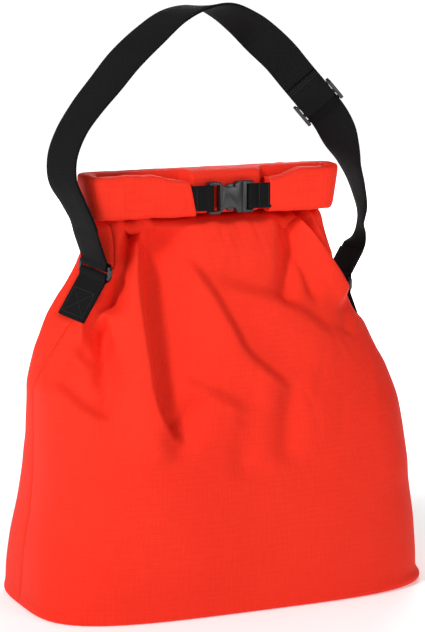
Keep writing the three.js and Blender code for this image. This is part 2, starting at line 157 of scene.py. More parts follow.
def grid_quads(points, u, v, wrap=False):
    """Quads over a (rows, cols, 3) array, with UVs in metres; wrapped, u has one more value than cols."""
    faces, corners = grid_faces(*points.shape[:2], wrap)
    return faces, np.stack([u[corners[..., 1]], v[corners[..., 0]]], axis=-1)


def outward_normals(obj):
    bm = bmesh.new()
    bm.from_mesh(obj.data)
    bmesh.ops.recalc_face_normals(bm, faces=bm.faces)
    bm.to_mesh(obj.data)
    bm.free()


def apply_modifier(obj, kind, **settings):
    """Adds a modifier and makes its result the object's mesh."""
    modifier = obj.modifiers.new(kind.lower(), kind)
    for key, value in settings.items():
        setattr(modifier, key, value)
    bpy.context.view_layer.update()
    evaluated = obj.evaluated_get(bpy.context.evaluated_depsgraph_get())
    mesh = bpy.data.meshes.new_from_object(evaluated)
    old = obj.data
    obj.modifiers.clear()
    obj.data = mesh
    bpy.data.meshes.remove(old)
    shade_smooth(mesh)


# ---------------- materials
WAVES_PER_UNIT = 3.1831  # of a wave texture at scale 1


class Nodes:
    """Short names for making and linking a material's nodes."""

    def __init__(self, name):
        self.material = bpy.data.materials.new(name)
        self.material.use_nodes = True
        self.tree = self.material.node_tree
        self.shader = self.tree.nodes["Principled BSDF"]
        coordinates = self.add("ShaderNodeTexCoord")
        self.uv, self.place = coordinates.outputs["UV"], coordinates.outputs["Object"]

    def add(self, kind, **settings):
        node = self.tree.nodes.new(kind)
        for key, value in settings.items():
            setattr(node, key, value)
        return node

    def drive(self, socket, output):
        self.link(output, self.shader.inputs[socket])

    def fix(self, socket, value):
        self.shader.inputs[socket].default_value = value

    def link(self, output, target):
        self.tree.links.new(output, target)

    def math(self, operation, a, b=None, clamp=False):
        node = self.add("ShaderNodeMath", operation=operation)
        node.use_clamp = clamp
        for socket, value in zip(node.inputs, (a, b)):
            if isinstance(value, (int, float)):
                socket.default_value = value
            elif value is not None:
                self.link(value, socket)
        return node.outputs[0]

    def scaled(self, value, factor, plus=None):
        """The value times a factor, with something added if plus is given."""
        product = self.math("MULTIPLY", value, factor)
        return product if plus is None else self.math("ADD", product, plus)

    def stretch(self, vector, x, y):
        node = self.add("ShaderNodeMapping")
        node.inputs["Scale"].default_value = (x, y, 1)
        self.link(vector, node.inputs["Vector"])
        return node.outputs["Vector"]

    def noise(self, vector, scale, detail=3.0):
        node = self.add("ShaderNodeTexNoise")
        node.inputs["Scale"].default_value = scale
        node.inputs["Detail"].default_value = detail
        self.link(vector, node.inputs["Vector"])
        return node.outputs["Fac"]

    def bands(self, vector, axis, period):
        """A sine from 0 to 1 along one axis of the coordinates, period in metres."""
        node = self.add("ShaderNodeTexWave", wave_type="BANDS", bands_direction=axis)
        node.inputs["Scale"].default_value = 1 / period / WAVES_PER_UNIT
        self.link(vector, node.inputs["Vector"])
        return node.outputs["Fac"]

    def mix(self, factor, first, second):
        node = self.add("ShaderNodeMix", data_type="RGBA")
        self.link(factor, node.inputs[0])
        node.inputs[6].default_value = (*first, 1)
        node.inputs[7].default_value = (*second, 1)
        return node.outputs[2]

    def bump(self, height, distance, strength=1.0, normal=None):
        node = self.add("ShaderNodeBump")
        node.inputs["Distance"].default_value = distance
        node.inputs["Strength"].default_value = strength
        self.link(height, node.inputs["Height"])
        if normal is not None:
            self.link(normal, node.inputs["Normal"])
        return node.outputs["Normal"]


def woven_fabric(name, light, dark, weave=0.9 * MM, grid=5.5 * MM):
    """Plain-weave polyester with slubs and a faint ripstop grid, from UVs in metres."""
    n = Nodes(name)
    line_sharpness = 26.0
    slub_scales = (45, 1100), (1100, 45)
    cloth = n.math("MULTIPLY", n.bands(n.uv, "X", weave), n.bands(n.uv, "Y", weave))
    lines = [n.math("POWER", n.bands(n.uv, axis, grid), line_sharpness) for axis in "XY"]
    ripstop = n.math("MAXIMUM", *lines)
    slubs = [n.noise(n.stretch(n.uv, *scale), 1.0, 2.0) for scale in slub_scales]
    slub = n.scaled(n.math("ADD", *slubs), 0.5)
    cloudy = n.noise(n.place, 7.0, 4.0)
    fine = n.noise(n.place, 900.0, 2.0)
    wrinkle = n.noise(n.place, 30.0, 5.0)
    tone = n.math("SUBTRACT", n.scaled(cloudy, 0.55, plus=slub), n.scaled(ripstop, 0.1))
    tone = n.math("SUBTRACT", tone, 0.28, clamp=True)
    height = n.math("ADD", n.scaled(cloth, 0.4), n.scaled(ripstop, 0.5))
    height = n.math("ADD", height, n.scaled(slub, 0.8))
    n.drive("Base Color", n.mix(tone, dark, light))
    n.drive("Normal", n.bump(wrinkle, 1.8 * MM, 0.3, n.bump(height, 0.2 * MM, 0.6)))
    n.drive("Roughness", n.scaled(fine, 0.12, plus=0.6))
    n.fix("Specular IOR Level", 0.13)
    n.fix("Specular Tint", (1.0, 0.32, 0.2, 1))
    return n.material


def webbing_material(name, light=(0.019, 0.019, 0.0205), dark=(0.004, 0.004, 0.0045)):
    """Ribbed narrow webbing: fine ribs along it, and broader ones across it."""
    n = Nodes(name)
    fine_rib, broad_rib = 1.25 * MM, 2.4 * MM
    fine, broad = n.bands(n.uv, "Y", fine_rib), n.bands(n.uv, "X", broad_rib)
    woven = n.math("MULTIPLY", fine, n.scaled(broad, 0.6, plus=0.4))
    fuzz = n.noise(n.place, 1400.0, 3.0)
    worn = n.noise(n.place, 30.0, 4.0)
    tone = n.math("MULTIPLY", woven, n.scaled(fuzz, 0.6, plus=n.scaled(worn, 0.5)))
    height = n.math("ADD", woven, n.scaled(fuzz, 0.35))
    n.drive("Base Color", n.mix(tone, dark, light))
    n.drive("Normal", n.bump(height, 0.3 * MM, 0.7))
    n.drive("Roughness", n.scaled(fuzz, 0.2, plus=0.7))
    n.fix("Sheen Weight", 0.02)
    n.fix("Sheen Roughness", 0.5)
    n.fix("Specular IOR Level", 0.07)
    return n.material


def plastic_material(name):
    """Moulded acetal: semi-gloss black with a fine tooled grain and soft scuffs."""
    n = Nodes(name)
    colour, rough = (0.009, 0.009, 0.0105), 0.27
    lighter = tuple(c * 1.9 for c in colour)
    grain = n.noise(n.place, 2600.0, 2.0)
    scuff = n.noise(n.place, 160.0, 5.0)
    n.drive("Base Color", n.mix(n.math("MULTIPLY", scuff, scuff), colour, lighter))
    n.drive("Normal", n.bump(grain, 0.04 * MM, 0.5))
    n.drive("Roughness", n.scaled(scuff, 0.22, plus=rough - 0.08))
    return n.material


def board_material(name):
    """Grey pressed board with a fibrous face."""
    n = Nodes(name)
    fibre = n.noise(n.place, 300.0, 6.0)
    n.drive("Base Color", n.mix(fibre, (0.05, 0.05, 0.052), (0.1, 0.1, 0.104)))
    n.drive("Normal", n.bump(fibre, 0.2 * MM, 0.6))
    n.fix("Roughness", 0.7)
    return n.material


def floor_material():
    """Matt white, which glows more and more away from the object, so that the floor has no far edge."""
    n = Nodes("studio_floor")
    glow_from, glow_slope = 0.35, 1.1
    away = n.add("ShaderNodeVectorMath", operation="LENGTH")
    n.link(n.place, away.inputs[0])
    glow = n.math("SUBTRACT", away.outputs["Value"], glow_from)
    glow = n.math("MULTIPLY", glow, glow_slope, clamp=True)
    n.drive("Base Color", n.mix(n.noise(n.place, 3.0), (0.9, 0.9, 0.9), (0.92, 0.92, 0.92)))
    n.drive("Emission Strength", n.scaled(glow, 0.75, plus=0.3))
    n.fix("Emission Color", (1, 1, 1, 1))
    n.fix("Roughness", 0.8)
    return n.material


RED = woven_fabric("red_ripstop_fabric", (0.95, 0.047, 0.023), (0.77, 0.023, 0.012))
BINDING = woven_fabric(
    "red_binding_tape", (0.5, 0.02, 0.01), (0.38, 0.012, 0.006), weave=0.6 * MM, grid=9 * MM
)
WEBBING = webbing_material("black_webbing")
THREAD = webbing_material("black_thread", (0.075, 0.075, 0.08), (0.03, 0.03, 0.032))
PLASTIC = plastic_material("black_moulded_plastic")
BOARD = board_material("stiffener_board")


# ---------------- camera, light and floor
AZIMUTH, ELEVATION = radians(-24.0), radians(9.8)
DISTANCE = 2.5
TARGET = Vector((0, 0, 0.276))
FOCAL_LENGTH = 142.4
FLOOR_RADII = np.array([0.0005, 0.4, 1.0, 2.0, 4.0])
FLOOR_COLS = 96
AMBIENT, BACKDROP = 0.16, 1.05  # strengths of the world's light and of the white that the camera sees
LIGHTS = {  # place, aim, size and power
    "key": ((-2.7, -1.35, 2.5), (0, 0, 0.25), (0.6, 0.8), 98),
    "fill": ((1.2, -3.0, 1.3), (0, 0, 0.25), (0.9, 1.2), 21),
    "top": ((0.3, 0.9, 2.6), (0, 0, 0.2), (1.6, 1.2), 12),
    "back": ((1.8, 2.6, 1.6), (0, 0, 0.25), (1.2, 1.2), 40),
}

def add_camera():
    back = Vector((
        sin(AZIMUTH) * cos(ELEVATION),
        -cos(AZIMUTH) * cos(ELEVATION),
        sin(ELEVATION),
    ))
    camera = scene_object("camera", bpy.data.cameras.new("camera"))
    camera.data.lens = FOCAL_LENGTH
    camera.data.clip_end = 50
    camera.location = TARGET + back * DISTANCE
    camera.rotation_euler = (-back).to_track_quat("-Z", "Y").to_euler()
    bpy.context.scene.camera = camera


def add_area_light(name, place, aim, size, power):
    light = bpy.data.lights.new(name, "AREA")
    light.shape = "RECTANGLE"
    light.size, light.size_y = size
    light.energy = power
    obj = scene_object(name, light)
    obj.location = place
    obj.rotation_euler = (Vector(aim) - Vector(place)).to_track_quat("-Z", "Y").to_euler()


def add_floor():
    """A plain pale disc under the object."""
    a = circle(FLOOR_COLS)
    ring = np.stack([np.cos(a), np.sin(a), 0 * a], axis=-1)
    points = FLOOR_RADII[:, None, None] * ring
    faces, _ = grid_faces(len(FLOOR_RADII), FLOOR_COLS, True)
    floor = mesh_object("studio_floor", points.reshape(-1, 3), faces[:, ::-1], floor_material())


def add_world():
    """Dim white light all round, behind which the camera sees plain white."""
    world = bpy.data.worlds.new("studio")
    bpy.context.scene.world = world
    world.use_nodes = True
    tree = world.node_tree
    lighting, backdrop = tree.nodes["Background"], tree.nodes.new("ShaderNodeBackground")
    for node, strength in ((lighting, AMBIENT), (backdrop, BACKDROP)):
        node.inputs["Color"].default_value = (1, 1, 1, 1)
        node.inputs["Strength"].default_value = strength
    choose = tree.nodes.new("ShaderNodeMixShader")
    tree.links.new(tree.nodes.new("ShaderNodeLightPath").outputs["Is Camera Ray"], choose.inputs[0])
    tree.links.new(lighting.outputs[0], choose.inputs[1])
    tree.links.new(backdrop.outputs[0], choose.inputs[2])
    tree.links.new(choose.outputs[0], tree.nodes["World Output"].inputs["Surface"])


add_camera()
add_world()
add_floor()
for name, settings in LIGHTS.items():
    add_area_light(name, *settings)
bpy.context.scene.view_settings.view_transform = "Standard"


# ---------------- the side anchors
WEB_THICK = 1.3 * MM
STRAP_WIDTH = 38 * MM
HALF_PITCH = 0.75 * MM  # centre line of each of two layers that lie together
TURN_RADIUS = 3.75 * MM  # centre line of webbing round a bar
RING_BAR_RISE = 5.2 * MM  # of each bar of a ring from the ring's middle
LOOP_LENGTH = 37 * MM
TAB_LENGTH = 49 * MM
# A ring's middle in mm, and degrees: yaw of the outward direction, tilt of the bars, slope of the
# tab, lean of the strap's end and its twist above the loop. The front is 1 where the strap's front
# edge looks along the bar, and -1 where it looks the other way.
ANCHORS = {
    "left": dict(at=(-131, -15, 334), yaw=199, tilt=-8, tab_slope=32, lean=27, twist=0, front=1),
    "right": dict(at=(152, 25, 298), yaw=10, tilt=0, tab_slope=23, lean=34, twist=-20, front=-1),
}


def anchor_axes(side):
    """Directions at a side anchor: away from the bag, along the ring's bars, and up through the ring."""
    yaw, tilt = (radians(ANCHORS[side][key]) for key in ("yaw", "tilt"))
    outward = np.array([cos(yaw), sin(yaw), 0])
    level = np.array([-sin(yaw), cos(yaw), 0])
    up = np.array([0, 0, 1.0])
    return outward, level * cos(tilt) + up * sin(tilt), up * cos(tilt) - level * sin(tilt)


def tab_place(side):
    """The eye of a side tab, the way the tab runs down, its width direction, and its outer face."""
    outward, bar, up = anchor_axes(side)
    slope = radians(ANCHORS[side]["tab_slope"])
    down = outward * sin(slope) - up * cos(slope)
    face = np.cross(down, bar)
    face = face if face @ outward > 0 else -face
    return np.array(ANCHORS[side]["at"]) * MM - up * RING_BAR_RISE, down, bar, face


def strap_end(side):
    """The strap's eye on a ring's bar, the way it runs from there, and the direction of its front edge."""
    anchor = ANCHORS[side]
    outward, bar, up = anchor_axes(side)
    lean = radians(anchor["lean"])
    run = outward * sin(lean) + up * cos(lean)
    return np.array(anchor["at"]) * MM + up * RING_BAR_RISE, run, bar * anchor["front"]


# ---------------- the bag's body
# Levels up the body in mm: height, left and right edge, front and back, how boxy the section is,
# and how much further the rear stands out at the left side.
LEVELS = np.array([
    (0.3, -205, 208, -109, 108, 3.7, 0),
    (2.5, -208, 211, -112, 111, 3.7, 0),
    (6, -209, 211, -114, 113, 3.7, 0),
    (14, -208, 207, -114, 113, 3.6, 0),
    (28, -207, 206, -115, 114, 3.6, 0),
    (60, -204, 205, -115, 113, 3.4, 0),
    (100, -197, 202, -110, 108, 3.2, 0),
    (140, -193, 200, -102, 101, 3.0, 0),
    (180, -192, 197, -92, 91, 2.8, 0),
    (216, -192, 187, -81, 80, 2.6, 2),
    (248, -186, 169, -70, 69, 2.5, 6),
    (282, -171, 150, -57, 56, 2.4, 14),
    (310, -153, 139, -46, 46, 2.4, 20),
    (337, -136, 130, -36, 38, 2.4, 24),
    (360, -127, 123, -27, 31, 2.4, 24),
    (373, -124, 120, -22, 26, 2.4, 20),
    (378.5, -122, 118, -10, 22.5, 2.4, 12),
    (380.4, -121, 112, 6, 22, 2.4, 4),
    (384, -121, 108, 14.3, 22, 2.4, 0),
    (424, -121, 106, 14.3, 22, 2.4, 0),
], float)
# How far the left seam is turned towards the front: heights in mm, and radians
SEAM_SHIFT = np.array([(0, 0), (220, 0.0), (262, 0.22), (337, 0.45), (374, 0.3), (424, 0)], float)
SEAM_WIDTH, SEAM_DEPTH = 0.006, 1.0  # a share of the panel's width, and mm
PANEL_COLS, PANEL_ROWS = 245, 200
FABRIC_THICKNESS = 0.7 * MM


def body_levels():
    """Evenly spaced distances up the front, and the level columns there."""
    along = arc_length(LEVELS[:, [0, 3]])
    at = np.linspace(0, along[-1], PANEL_ROWS)
    return at, np.stack([monotone(at, along, column) for column in LEVELS.T], axis=1)


def section(level, angle):
    """The x and y of points round a level, and how far front (-1) or back (1) each stands."""
    left, right, fore, aft, boxy = level
    depth = signed_power(np.sin(angle), 2 / boxy)
    x = (left + right) / 2 + (right - left) / 2 * signed_power(np.cos(angle), 2 / boxy)
    return x, (fore + aft) / 2 + (aft - fore) / 2 * depth, depth


def panel_base(front):
    """Undisplaced points of one panel in mm, rows up and columns from one side seam to the other."""
    at, levels = body_levels()
    z, *level, skew = levels.T[:, :, None]
    shift = np.interp(levels[:, 0], *SEAM_SHIFT.T)[:, None]
    t = np.linspace(0, 1, PANEL_COLS)[None, :]
    if front:
        angle = pi + shift + t * (pi - shift)
    else:
        angle = t * (pi + shift)
    x, y, depth = section(level, angle)
    x = x - skew * depth * ease(20, -120, x)
    points = np.stack([x, y, np.broadcast_to(z, x.shape)], axis=-1)
    # evenly spaced columns along each row, so that the weave keeps its scale
    return np.array([respace(row, PANEL_COLS) for row in points]), at


def grid_normals(points, outward):
    """Unit normals of a grid, on the side that agrees with outward on the whole."""
    normal = unit(np.cross(np.gradient(points, axis=1), np.gradient(points, axis=0)))
    return normal * np.sign(np.sum(normal * outward, axis=-1).mean())


def along_line(x, z, line):
    """Signed distance to a fold line and the place along it from 0 to 1; positive to the line's +X side."""
    path = catmull(line, 40)
    best = np.full(x.shape, np.inf)
    side = np.zeros(x.shape)
    place = np.zeros(x.shape)
    for i in range(len(path) - 1):
        a, b = path[i], path[i + 1]
        d = b - a
        t = np.clip(((x - a[0]) * d[0] + (z - a[1]) * d[1]) / (d @ d), 0, 1)
        gap = np.hypot(x - a[0] - t * d[0], z - a[1] - t * d[1])
        closer = gap < best
        best = np.where(closer, gap, best)
        cross = d[0] * (z - a[1]) - d[1] * (x - a[0])
        side = np.where(closer, np.sign(cross), side)
        place = np.where(closer, (i + t) / (len(path) - 1), place)
    return best * side, place


def envelope(place, start, end, fade):
    """Strength from start to end along a fold, easing in and out at its ends."""
    ends = ease(0, fade, place) * ease(1, 1 - fade, place)
    return (start + (end - start) * place) * ends


def crease(x, z, line, depth, width, end_depth=None, fade=0.25):
    """A soft ridge or, with a negative depth, a valley."""
    s, place = along_line(x, z, line)
    end_depth = depth if end_depth is None else end_depth
    return envelope(place, depth, end_depth, fade) * np.exp(-((s / width) ** 2))


def fold(x, z, line, rise, drop, near, far, edge=5.0, fade=0.25):
    """Cloth that swells up to a rounded crest from the -X side and falls into a hollow past it."""
    s, place = along_line(x, z, line)
    swell = rise * np.exp(-((np.minimum(s + edge, 0) / near) ** 2))
    hollow = -drop * np.exp(-((np.maximum(s - edge, 0) / far) ** 2))
    over = ease(-edge, edge, s)
    return envelope(place, 1, 1, fade) * (swell * (1 - over) + hollow * over)


# Rows of shape, sizes and line, in mm. A crease's sizes are depth, width, depth at the line's far
# end and fade; a fold's are rise, drop, near, far, edge and fade. The points are x and z.
FRONT_FOLDS = [
    # the cone of slack cloth under the left end of the roll, and the hollows beside it
    (fold, (13, 17, 26, 36, 6.5, 0.14),
     [(-76, 386), (-83, 360), (-88, 322), (-91, 285), (-92, 245), (-91, 212), (-83, 186), (-66, 168)]),
    (crease, (-42, 9.5, -9, 0.12),
     [(-84, 388), (-96, 362), (-110, 334), (-122, 300), (-134, 262), (-146, 214)]),
    (crease, (16, 4.5, 8, 0.12), [(-66, 386), (-90, 374), (-110, 357), (-136, 334)]),
    (crease, (11, 4, 7, 0.14), [(-76, 388), (-104, 378), (-140, 364)]),
    (crease, (-11, 3.6, -6, 0.14), [(-76, 379), (-100, 365), (-120, 351), (-144, 341)]),
    (crease, (9, 6, 3, 0.2), [(-104, 352), (-116, 322), (-126, 292), (-136, 262)]),
    (fold, (4, 6, 24, 20, 6), [(-190, 240), (-176, 224), (-162, 210), (-148, 200), (-134, 196)]),
    (crease, (-7, 9), [(-148, 198), (-138, 212), (-130, 236), (-124, 262)]),
    (crease, (-7, 12), [(-94, 196), (-76, 170), (-60, 188), (-46, 226)]),
    # the broad recess right of the cone, and the long slanting crease of the middle
    (crease, (-12, 24, -7, 0.2), [(-56, 384), (-56, 340), (-52, 290), (-40, 240)]),
    (fold, (6, 6, 34, 36, 8, 0.24),
     [(-44, 366), (-38, 345), (-22, 316), (-5, 280), (8, 252), (26, 234), (47, 216), (66, 200)]),
    (crease, (-6, 14), [(50, 226), (42, 176), (34, 138)]),
    (fold, (3.5, 3.5, 26, 26, 8), [(-72, 238), (-31, 214), (0, 198), (24, 194)]),
    (crease, (-5, 15), [(1, 204), (-8, 160), (-12, 126)]),
    # the right shoulder
    (fold, (4.5, 4, 28, 28, 9), [(-28, 324), (7, 314), (45, 302), (72, 288), (104, 264), (128, 250)]),
    (crease, (-4, 12), [(132, 292), (134, 274), (124, 254)]),
    (crease, (-24, 12, -6, 0.14), [(80, 388), (76, 352), (69, 322), (60, 286)]),
    (fold, (10, 13, 11, 9, 3.2, 0.14), [(84, 388), (100, 356), (116, 332), (132, 306), (142, 288)]),
    (crease, (10, 3.6, 6, 0.14), [(94, 388), (112, 356), (132, 326)]),
    (crease, (-7, 8), [(83, 362), (89, 330), (96, 305), (108, 290)]),
    # slack beside the left seam, under the tab
    (crease, (-11, 11), [(-150, 300), (-140, 278), (-146, 262), (-165, 252)]),
    (crease, (-5, 7), [(-182, 250), (-170, 244), (-158, 246)]),
    # soft swelling low down, where the load pushes the cloth out
    (crease, (4, 45, 4, 0.35), [(-150, 90), (-60, 70), (60, 66), (150, 84)]),
    (crease, (3, 26), [(150, 200), (165, 150), (172, 100)]),
]
BACK_FOLDS = [
    (crease, (-10, 13, -4), [(-70, 384), (-78, 340), (-96, 290), (-118, 240)]),
    (crease, (-11, 13, -4), [(62, 384), (74, 340), (96, 292), (120, 236)]),
    (crease, (-6, 13, -3), [(-10, 384), (-14, 330), (-6, 270), (-22, 205)]),
    (crease, (5, 16, 2), [(-46, 372), (-30, 320), (12, 262), (40, 200)]),
    (crease, (-5, 12), [(-150, 232), (-80, 204), (-10, 196), (30, 212)]),
    (crease, (-5, 12), [(150, 226), (90, 190), (40, 186)]),
    (crease, (4, 42, 4, 0.35), [(-120, 100), (0, 76), (130, 92)]),
]
SLACK_CREASES, SLACK_DEPTH = 46, 0.75
GATHER_WAVES, GATHER_DEPTH = (9, 13, 19, 27), 0.4  # waves across a panel, and mm


def slack_creases(x, z, seed):
    """Many faint, long, mostly slanting creases, as handled cloth has."""
    rng = np.random.default_rng(seed)
    d = np.zeros_like(x)
    for _ in range(SLACK_CREASES):
        cx, cz = rng.uniform(-190, 190), rng.uniform(50, 350)
        tilt = rng.normal(1.0, 0.6) * rng.choice([-1, 1])
        long, wide = rng.uniform(18, 46), rng.uniform(3.5, 8)
        u = (x - cx) * cos(tilt) + (z - cz) * sin(tilt)
        v = -(x - cx) * sin(tilt) + (z - cz) * cos(tilt)
        bow = v - u * u / rng.uniform(150, 500)
        d += rng.uniform(-1, 1) * SLACK_DEPTH * np.exp(-((u / long) ** 2) - (bow / wide) ** 2)
    return d


def all_folds(x, z, rows, seed):
    """How far outwards a panel's folds and slack creases move each point, in mm."""
    d = np.zeros_like(x)
    for shape, sizes, line in rows:
        d += shape(x, z, line, *sizes)
    return d + slack_creases(x, z, seed)


def gathers(t, z, seed):
    """Small pleats where the cloth is drawn in under the roll, fading downwards."""
    rng = np.random.default_rng(seed)
    out = np.zeros(np.broadcast(t, z).shape)
    for waves in GATHER_WAVES:
        phase = rng.uniform(0, 2 * pi)
        drift = rng.uniform(-0.004, 0.004)
        out += np.sin(2 * pi * waves * t + phase + drift * (380 - z) * waves) / waves**0.5
    return GATHER_DEPTH * out * ease(300, 372, z) * ease(384, 376, z)


def fit_to_tabs(points):
    """Presses cloth in behind the side tabs, and draws it out to where each tab is sewn down."""
    back_face = HALF_PITCH + WEB_THICK / 2
    half_width = 19.5 * MM
    pressed_gap, drawn_gap = 0.6 * MM, 0.4 * MM
    press_slope, longest_draw, draw_reach = 0.75, 14 * MM, 30 * MM
    sewn_start, sewn_full, sewn_margin = 14 * MM, 34 * MM, 34 * MM
    for side in ANCHORS:
        eye, down, bar, face = tab_place(side)
        along, across, out = (((points * MM - eye) @ axis) for axis in (down, bar, face))
        beyond = np.hypot(
            np.maximum(np.maximum(along - TAB_LENGTH, -along), 0),
            np.maximum(np.abs(across) - half_width, 0),
        )
        over = np.maximum(out + back_face + pressed_gap - press_slope * beyond, 0)
        short = np.clip(-back_face - drawn_gap - out, 0, longest_draw) * (out > -draw_reach)
        sewn = ease(sewn_start, sewn_full, along) * ease(sewn_margin, 0, beyond)
        points = points + face * (short * sewn - over)[..., None] / MM
    return points


def body_panel(name, node, front, folds, slack_seed, gather_seed):
    """A panel of cloth, folded, drawn in at its seams and fitted to the tabs."""
    points, at = panel_base(front)
    x, z = points[..., 0], points[..., 2]
    t = np.linspace(0, 1, PANEL_COLS)[None, :]
    normal = grid_normals(points, unit(points * (1, 1, 0)))
    off_seams = ease(0, 0.09, t) * ease(1, 0.91, t)
    off_edges = ease(2, 40, z) * ease(384, 374, z)
    move = all_folds(x, z, folds, slack_seed) * off_seams * off_edges
    move = move + gathers(t, z, gather_seed) * off_seams
    seam = np.exp(-((t / SEAM_WIDTH) ** 2)) + np.exp(-(((1 - t) / SEAM_WIDTH) ** 2))
    move = move - SEAM_DEPTH * seam * ease(3, 12, z)
    points = fit_to_tabs(points + normal * move[..., None])
    width = np.linalg.norm(np.diff(points, axis=1), axis=-1).sum(axis=1).max()
    u = np.linspace(0, width, PANEL_COLS) * MM
    faces, uv = grid_quads(points, u, at * MM)
    panel = mesh_object(name, points.reshape(-1, 3) * MM, faces, RED, uv)
    apply_modifier(panel, "SOLIDIFY", thickness=FABRIC_THICKNESS)
    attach(panel, "bag")
    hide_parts(node)


body_panel("front_panel_cloth", "body_front_panel", True, FRONT_FOLDS, 12, 3)
body_panel("back_panel_cloth", "body_back_panel", False, BACK_FOLDS, 6, 4)


# ---------------- the rolled mouth
roll_low, roll_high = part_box("roll_centre")
flap_low, flap_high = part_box("roll_flap_left")
right_low, right_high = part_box("roll_flap_right")
ROLL_HALF = (roll_high.z - roll_low.z) / 2
ROLL_THICK = roll_high.y - roll_low.y
SPINE_Y, FRONT_Y = roll_high.y - ROLL_THICK / 2, flap_low.y + ROLL_THICK / 2
BEND_Y = (roll_high.y + flap_low.y) / 2
BEND_R = (roll_high.y - flap_low.y - ROLL_THICK) / 2
BEND_STEPS, SQUARENESS = 28, 3.2
ROLL_ROWS, ROLL_COLS = 340, 72
EDGE_WAVES = (0.5, 0.061, 1), (0.35, 0.027, 0), (0.2, 0.0133, 2)  # size, period in metres, phase
END_FADE = 0.040, 0.004  # from where to where, in metres from an end, the roll narrows
DENTS, DENT_DEPTH = 34, 0.0006
CAP_RINGS, CAP_BULGE = (0.86, 0.6, 0.3), 0.0012


def bend_points(x, side):
    """Half a turn of the roll in plan, with squared corners, from the front round to the back."""
    points = []
    for i in range(1, BEND_STEPS):
        a = pi / 2 * (2 * i / BEND_STEPS - 1)
        c, s = cos(a), sin(a)
        square = (abs(c) ** SQUARENESS + abs(s) ** SQUARENESS) ** (-1 / SQUARENESS)
        points.append((x + side * BEND_R * c * square, BEND_Y + BEND_R * s * square))
    return points


def roll_path():
    """The roll's middle line in plan: left end, round the bend, along the back, round to the right end."""
    left = flap_low.x + BEND_R + ROLL_THICK / 2
    right = right_high.x - BEND_R - ROLL_THICK / 2
    line = [(flap_high.x + 2 * MM, FRONT_Y), (left, FRONT_Y), *bend_points(left, -1), (left, SPINE_Y)]
    line += [(right, SPINE_Y), *bend_points(right, 1)[::-1], (right, FRONT_Y), (right_low.x, FRONT_Y)]
    return respace(np.array(line), ROLL_ROWS)


def build_roll():
    """The roll and both its folded ends as one padded band."""
    path = roll_path()
    tangent = unit(np.gradient(path, axis=0))
    inward = np.stack([tangent[:, 1], -tangent[:, 0]], axis=1)
    s = arc_length(path)
    length = s[-1]
    a = circle(ROLL_COLS)
    thin, tall = signed_power(np.cos(a), 0.6), signed_power(np.sin(a), 0.26)
    # the cloth's inner side closes up against the layer it is folded over, and swells behind the buckle
    spine = np.abs(path[:, 1] - SPINE_Y) < 1 * MM
    gap_left, gap_right = flap_high.x + 3 * MM, right_low.x - 2 * MM
    open_front = ease(gap_left - 3 * MM, gap_left + 7 * MM, path[:, 0])
    open_front = open_front * ease(gap_right + 3 * MM, gap_right - 7 * MM, path[:, 0]) * spine
    depth = ROLL_THICK / 2 + 5.2 * MM + 13.5 * MM * open_front
    # the upper and lower edges wander, and the folded ends stand lower than the straight run
    flap = 1 - np.minimum(1, np.abs(path[:, 1] - FRONT_Y) / (4 * MM))
    wobble = sum(size * np.sin(2 * pi * s / period + phase) for size, period, phase in EDGE_WAVES)
    pulled = np.maximum(ease(*END_FADE, s), ease(*(length - d for d in END_FADE), s))
    top = ROLL_HALF + (-2.4 * flap - 7.5 * pulled + 0.5 * wobble * (0.4 + flap)) * MM
    bottom = -ROLL_HALF + 0.5 * wobble[::-1] * MM
    z = np.where(tall[None] > 0, tall[None] * top[:, None], -tall[None] * bottom[:, None])
    t = np.where(thin[None] > 0, thin[None] * depth[:, None], thin[None] * ROLL_THICK / 2)
    points = np.concatenate([path[:, None] + inward[:, None] * t[..., None], z[..., None]], axis=2)
    rise = (points[..., 2] + ROLL_HALF) / (2 * ROLL_HALF)
    points[..., 2] += roll_low.z + ROLL_HALF
    # both ends draw in towards their lower edge, and the left end's own edge is cut on the slant
    reach = ease(0.105, 0.14, np.abs(points[..., 0] + 0.006))
    points[..., 0] -= np.sign(points[..., 0]) * reach * 7.5 * MM * (1 - rise)
    tail = ease(0.03, 0.0, s)[:, None]
    points[..., 0] += tail * (9.5 * MM * (1 - rise) - 2 * MM)
    points[..., 1] -= 0.9 * MM * ease(0.04, 0.01, s)[:, None]
    crumple(points, s / length, a)
    girth = 2 * (2 * ROLL_HALF + ROLL_THICK)
    roll = capped_tube("rolled_mouth", points, girth, s, RED)
    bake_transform(roll)
    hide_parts("roll_centre", "roll_flap_left", "roll_flap_right")


def crumple(points, s, a):
    """Shallow creases and dents where the doubled cloth is pulled round and clipped."""
    rng = np.random.default_rng(11)
    sx, az = np.meshgrid(s, a, indexing="ij")
    dent = np.zeros_like(sx)
    for _ in range(DENTS):
        cs, ca = rng.uniform(0, 1), rng.uniform(0, 2 * pi)
        width, tilt = rng.uniform(0.006, 0.02), rng.uniform(-0.03, 0.03)
        da = np.angle(np.exp(1j * (az - ca)))
        dent += rng.uniform(-1, 1) * np.exp(-(((sx - cs - tilt * da) / width) ** 2) - (da / 0.8) ** 2)
    middle = points.mean(axis=1, keepdims=True)
    points += unit(points - middle) * (dent * DENT_DEPTH)[..., None]


